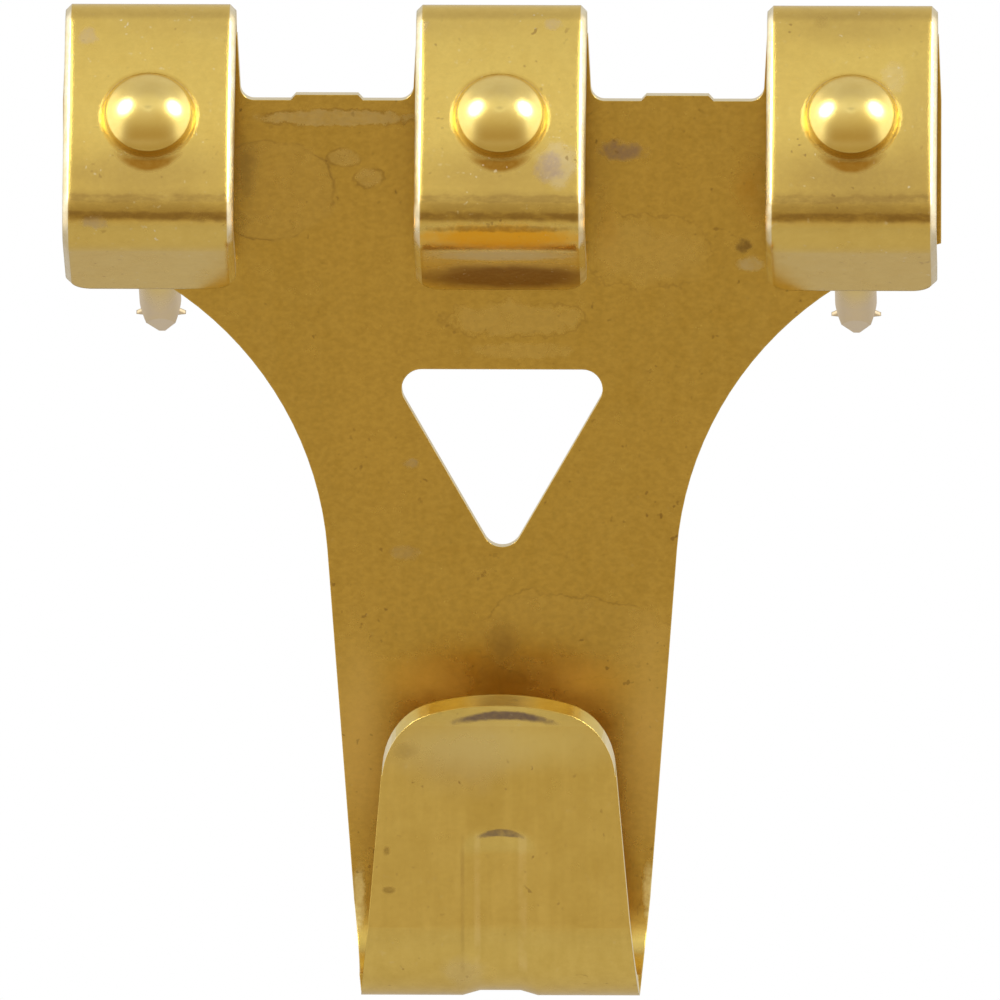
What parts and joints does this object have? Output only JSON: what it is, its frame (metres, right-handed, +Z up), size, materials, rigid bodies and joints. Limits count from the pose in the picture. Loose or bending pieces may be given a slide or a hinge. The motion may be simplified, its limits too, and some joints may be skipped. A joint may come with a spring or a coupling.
{
  "type": "picture hook",
  "caption": "Brass-plated sheet-metal picture hook with a flared plate, triangular window, folded nail loops, slanting domed nails and a broad beaded hook with a round-cornered lip.",
  "frame": {"origin": "on the back of the plate, which lies against the wall, on its centreline and level with the plate's top edge between the loops", "axes": "+Y into the wall, -Y towards the viewer, +Z up, +X to the viewer's right"},
  "size_m": [0.0438, 0.0263, 0.0495],
  "materials": {
    "sheet_brass": "bright brass plating, lightly tarnished, with a few dull stains",
    "nail_brass": "polished brass plating"
  },
  "bodies": {
    "root": {"hook_body": "sheet_brass", "nail_left": "nail_brass", "nail_centre": "nail_brass", "nail_right": "nail_brass"}
  },
  "joints": []
}
